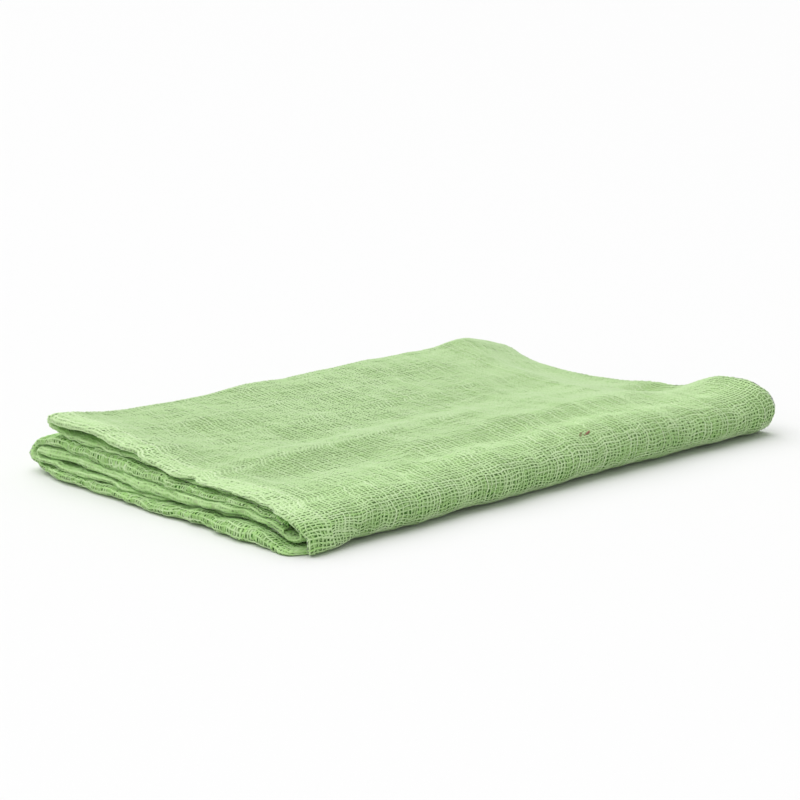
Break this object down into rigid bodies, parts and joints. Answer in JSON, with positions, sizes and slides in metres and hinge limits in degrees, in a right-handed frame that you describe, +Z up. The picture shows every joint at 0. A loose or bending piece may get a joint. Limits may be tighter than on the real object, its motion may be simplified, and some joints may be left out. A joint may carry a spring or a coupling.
{
  "type": "play cloth",
  "caption": "Open-weave cotton gauze play cloth folded flat into a low pad, for draping, wrapping and pretend play.",
  "frame": {"origin": "centre of the folded pad, on the surface that it rests on", "axes": "+X along the long front fold, +Y from the front fold to the back folds, +Z up"},
  "size_m": [0.2302, 0.1446, 0.0211],
  "materials": {
    "gauze": "light green dyed cotton gauze, matt, open weave"
  },
  "bodies": {
    "root": {"play_cloth": "gauze"}
  },
  "joints": []
}
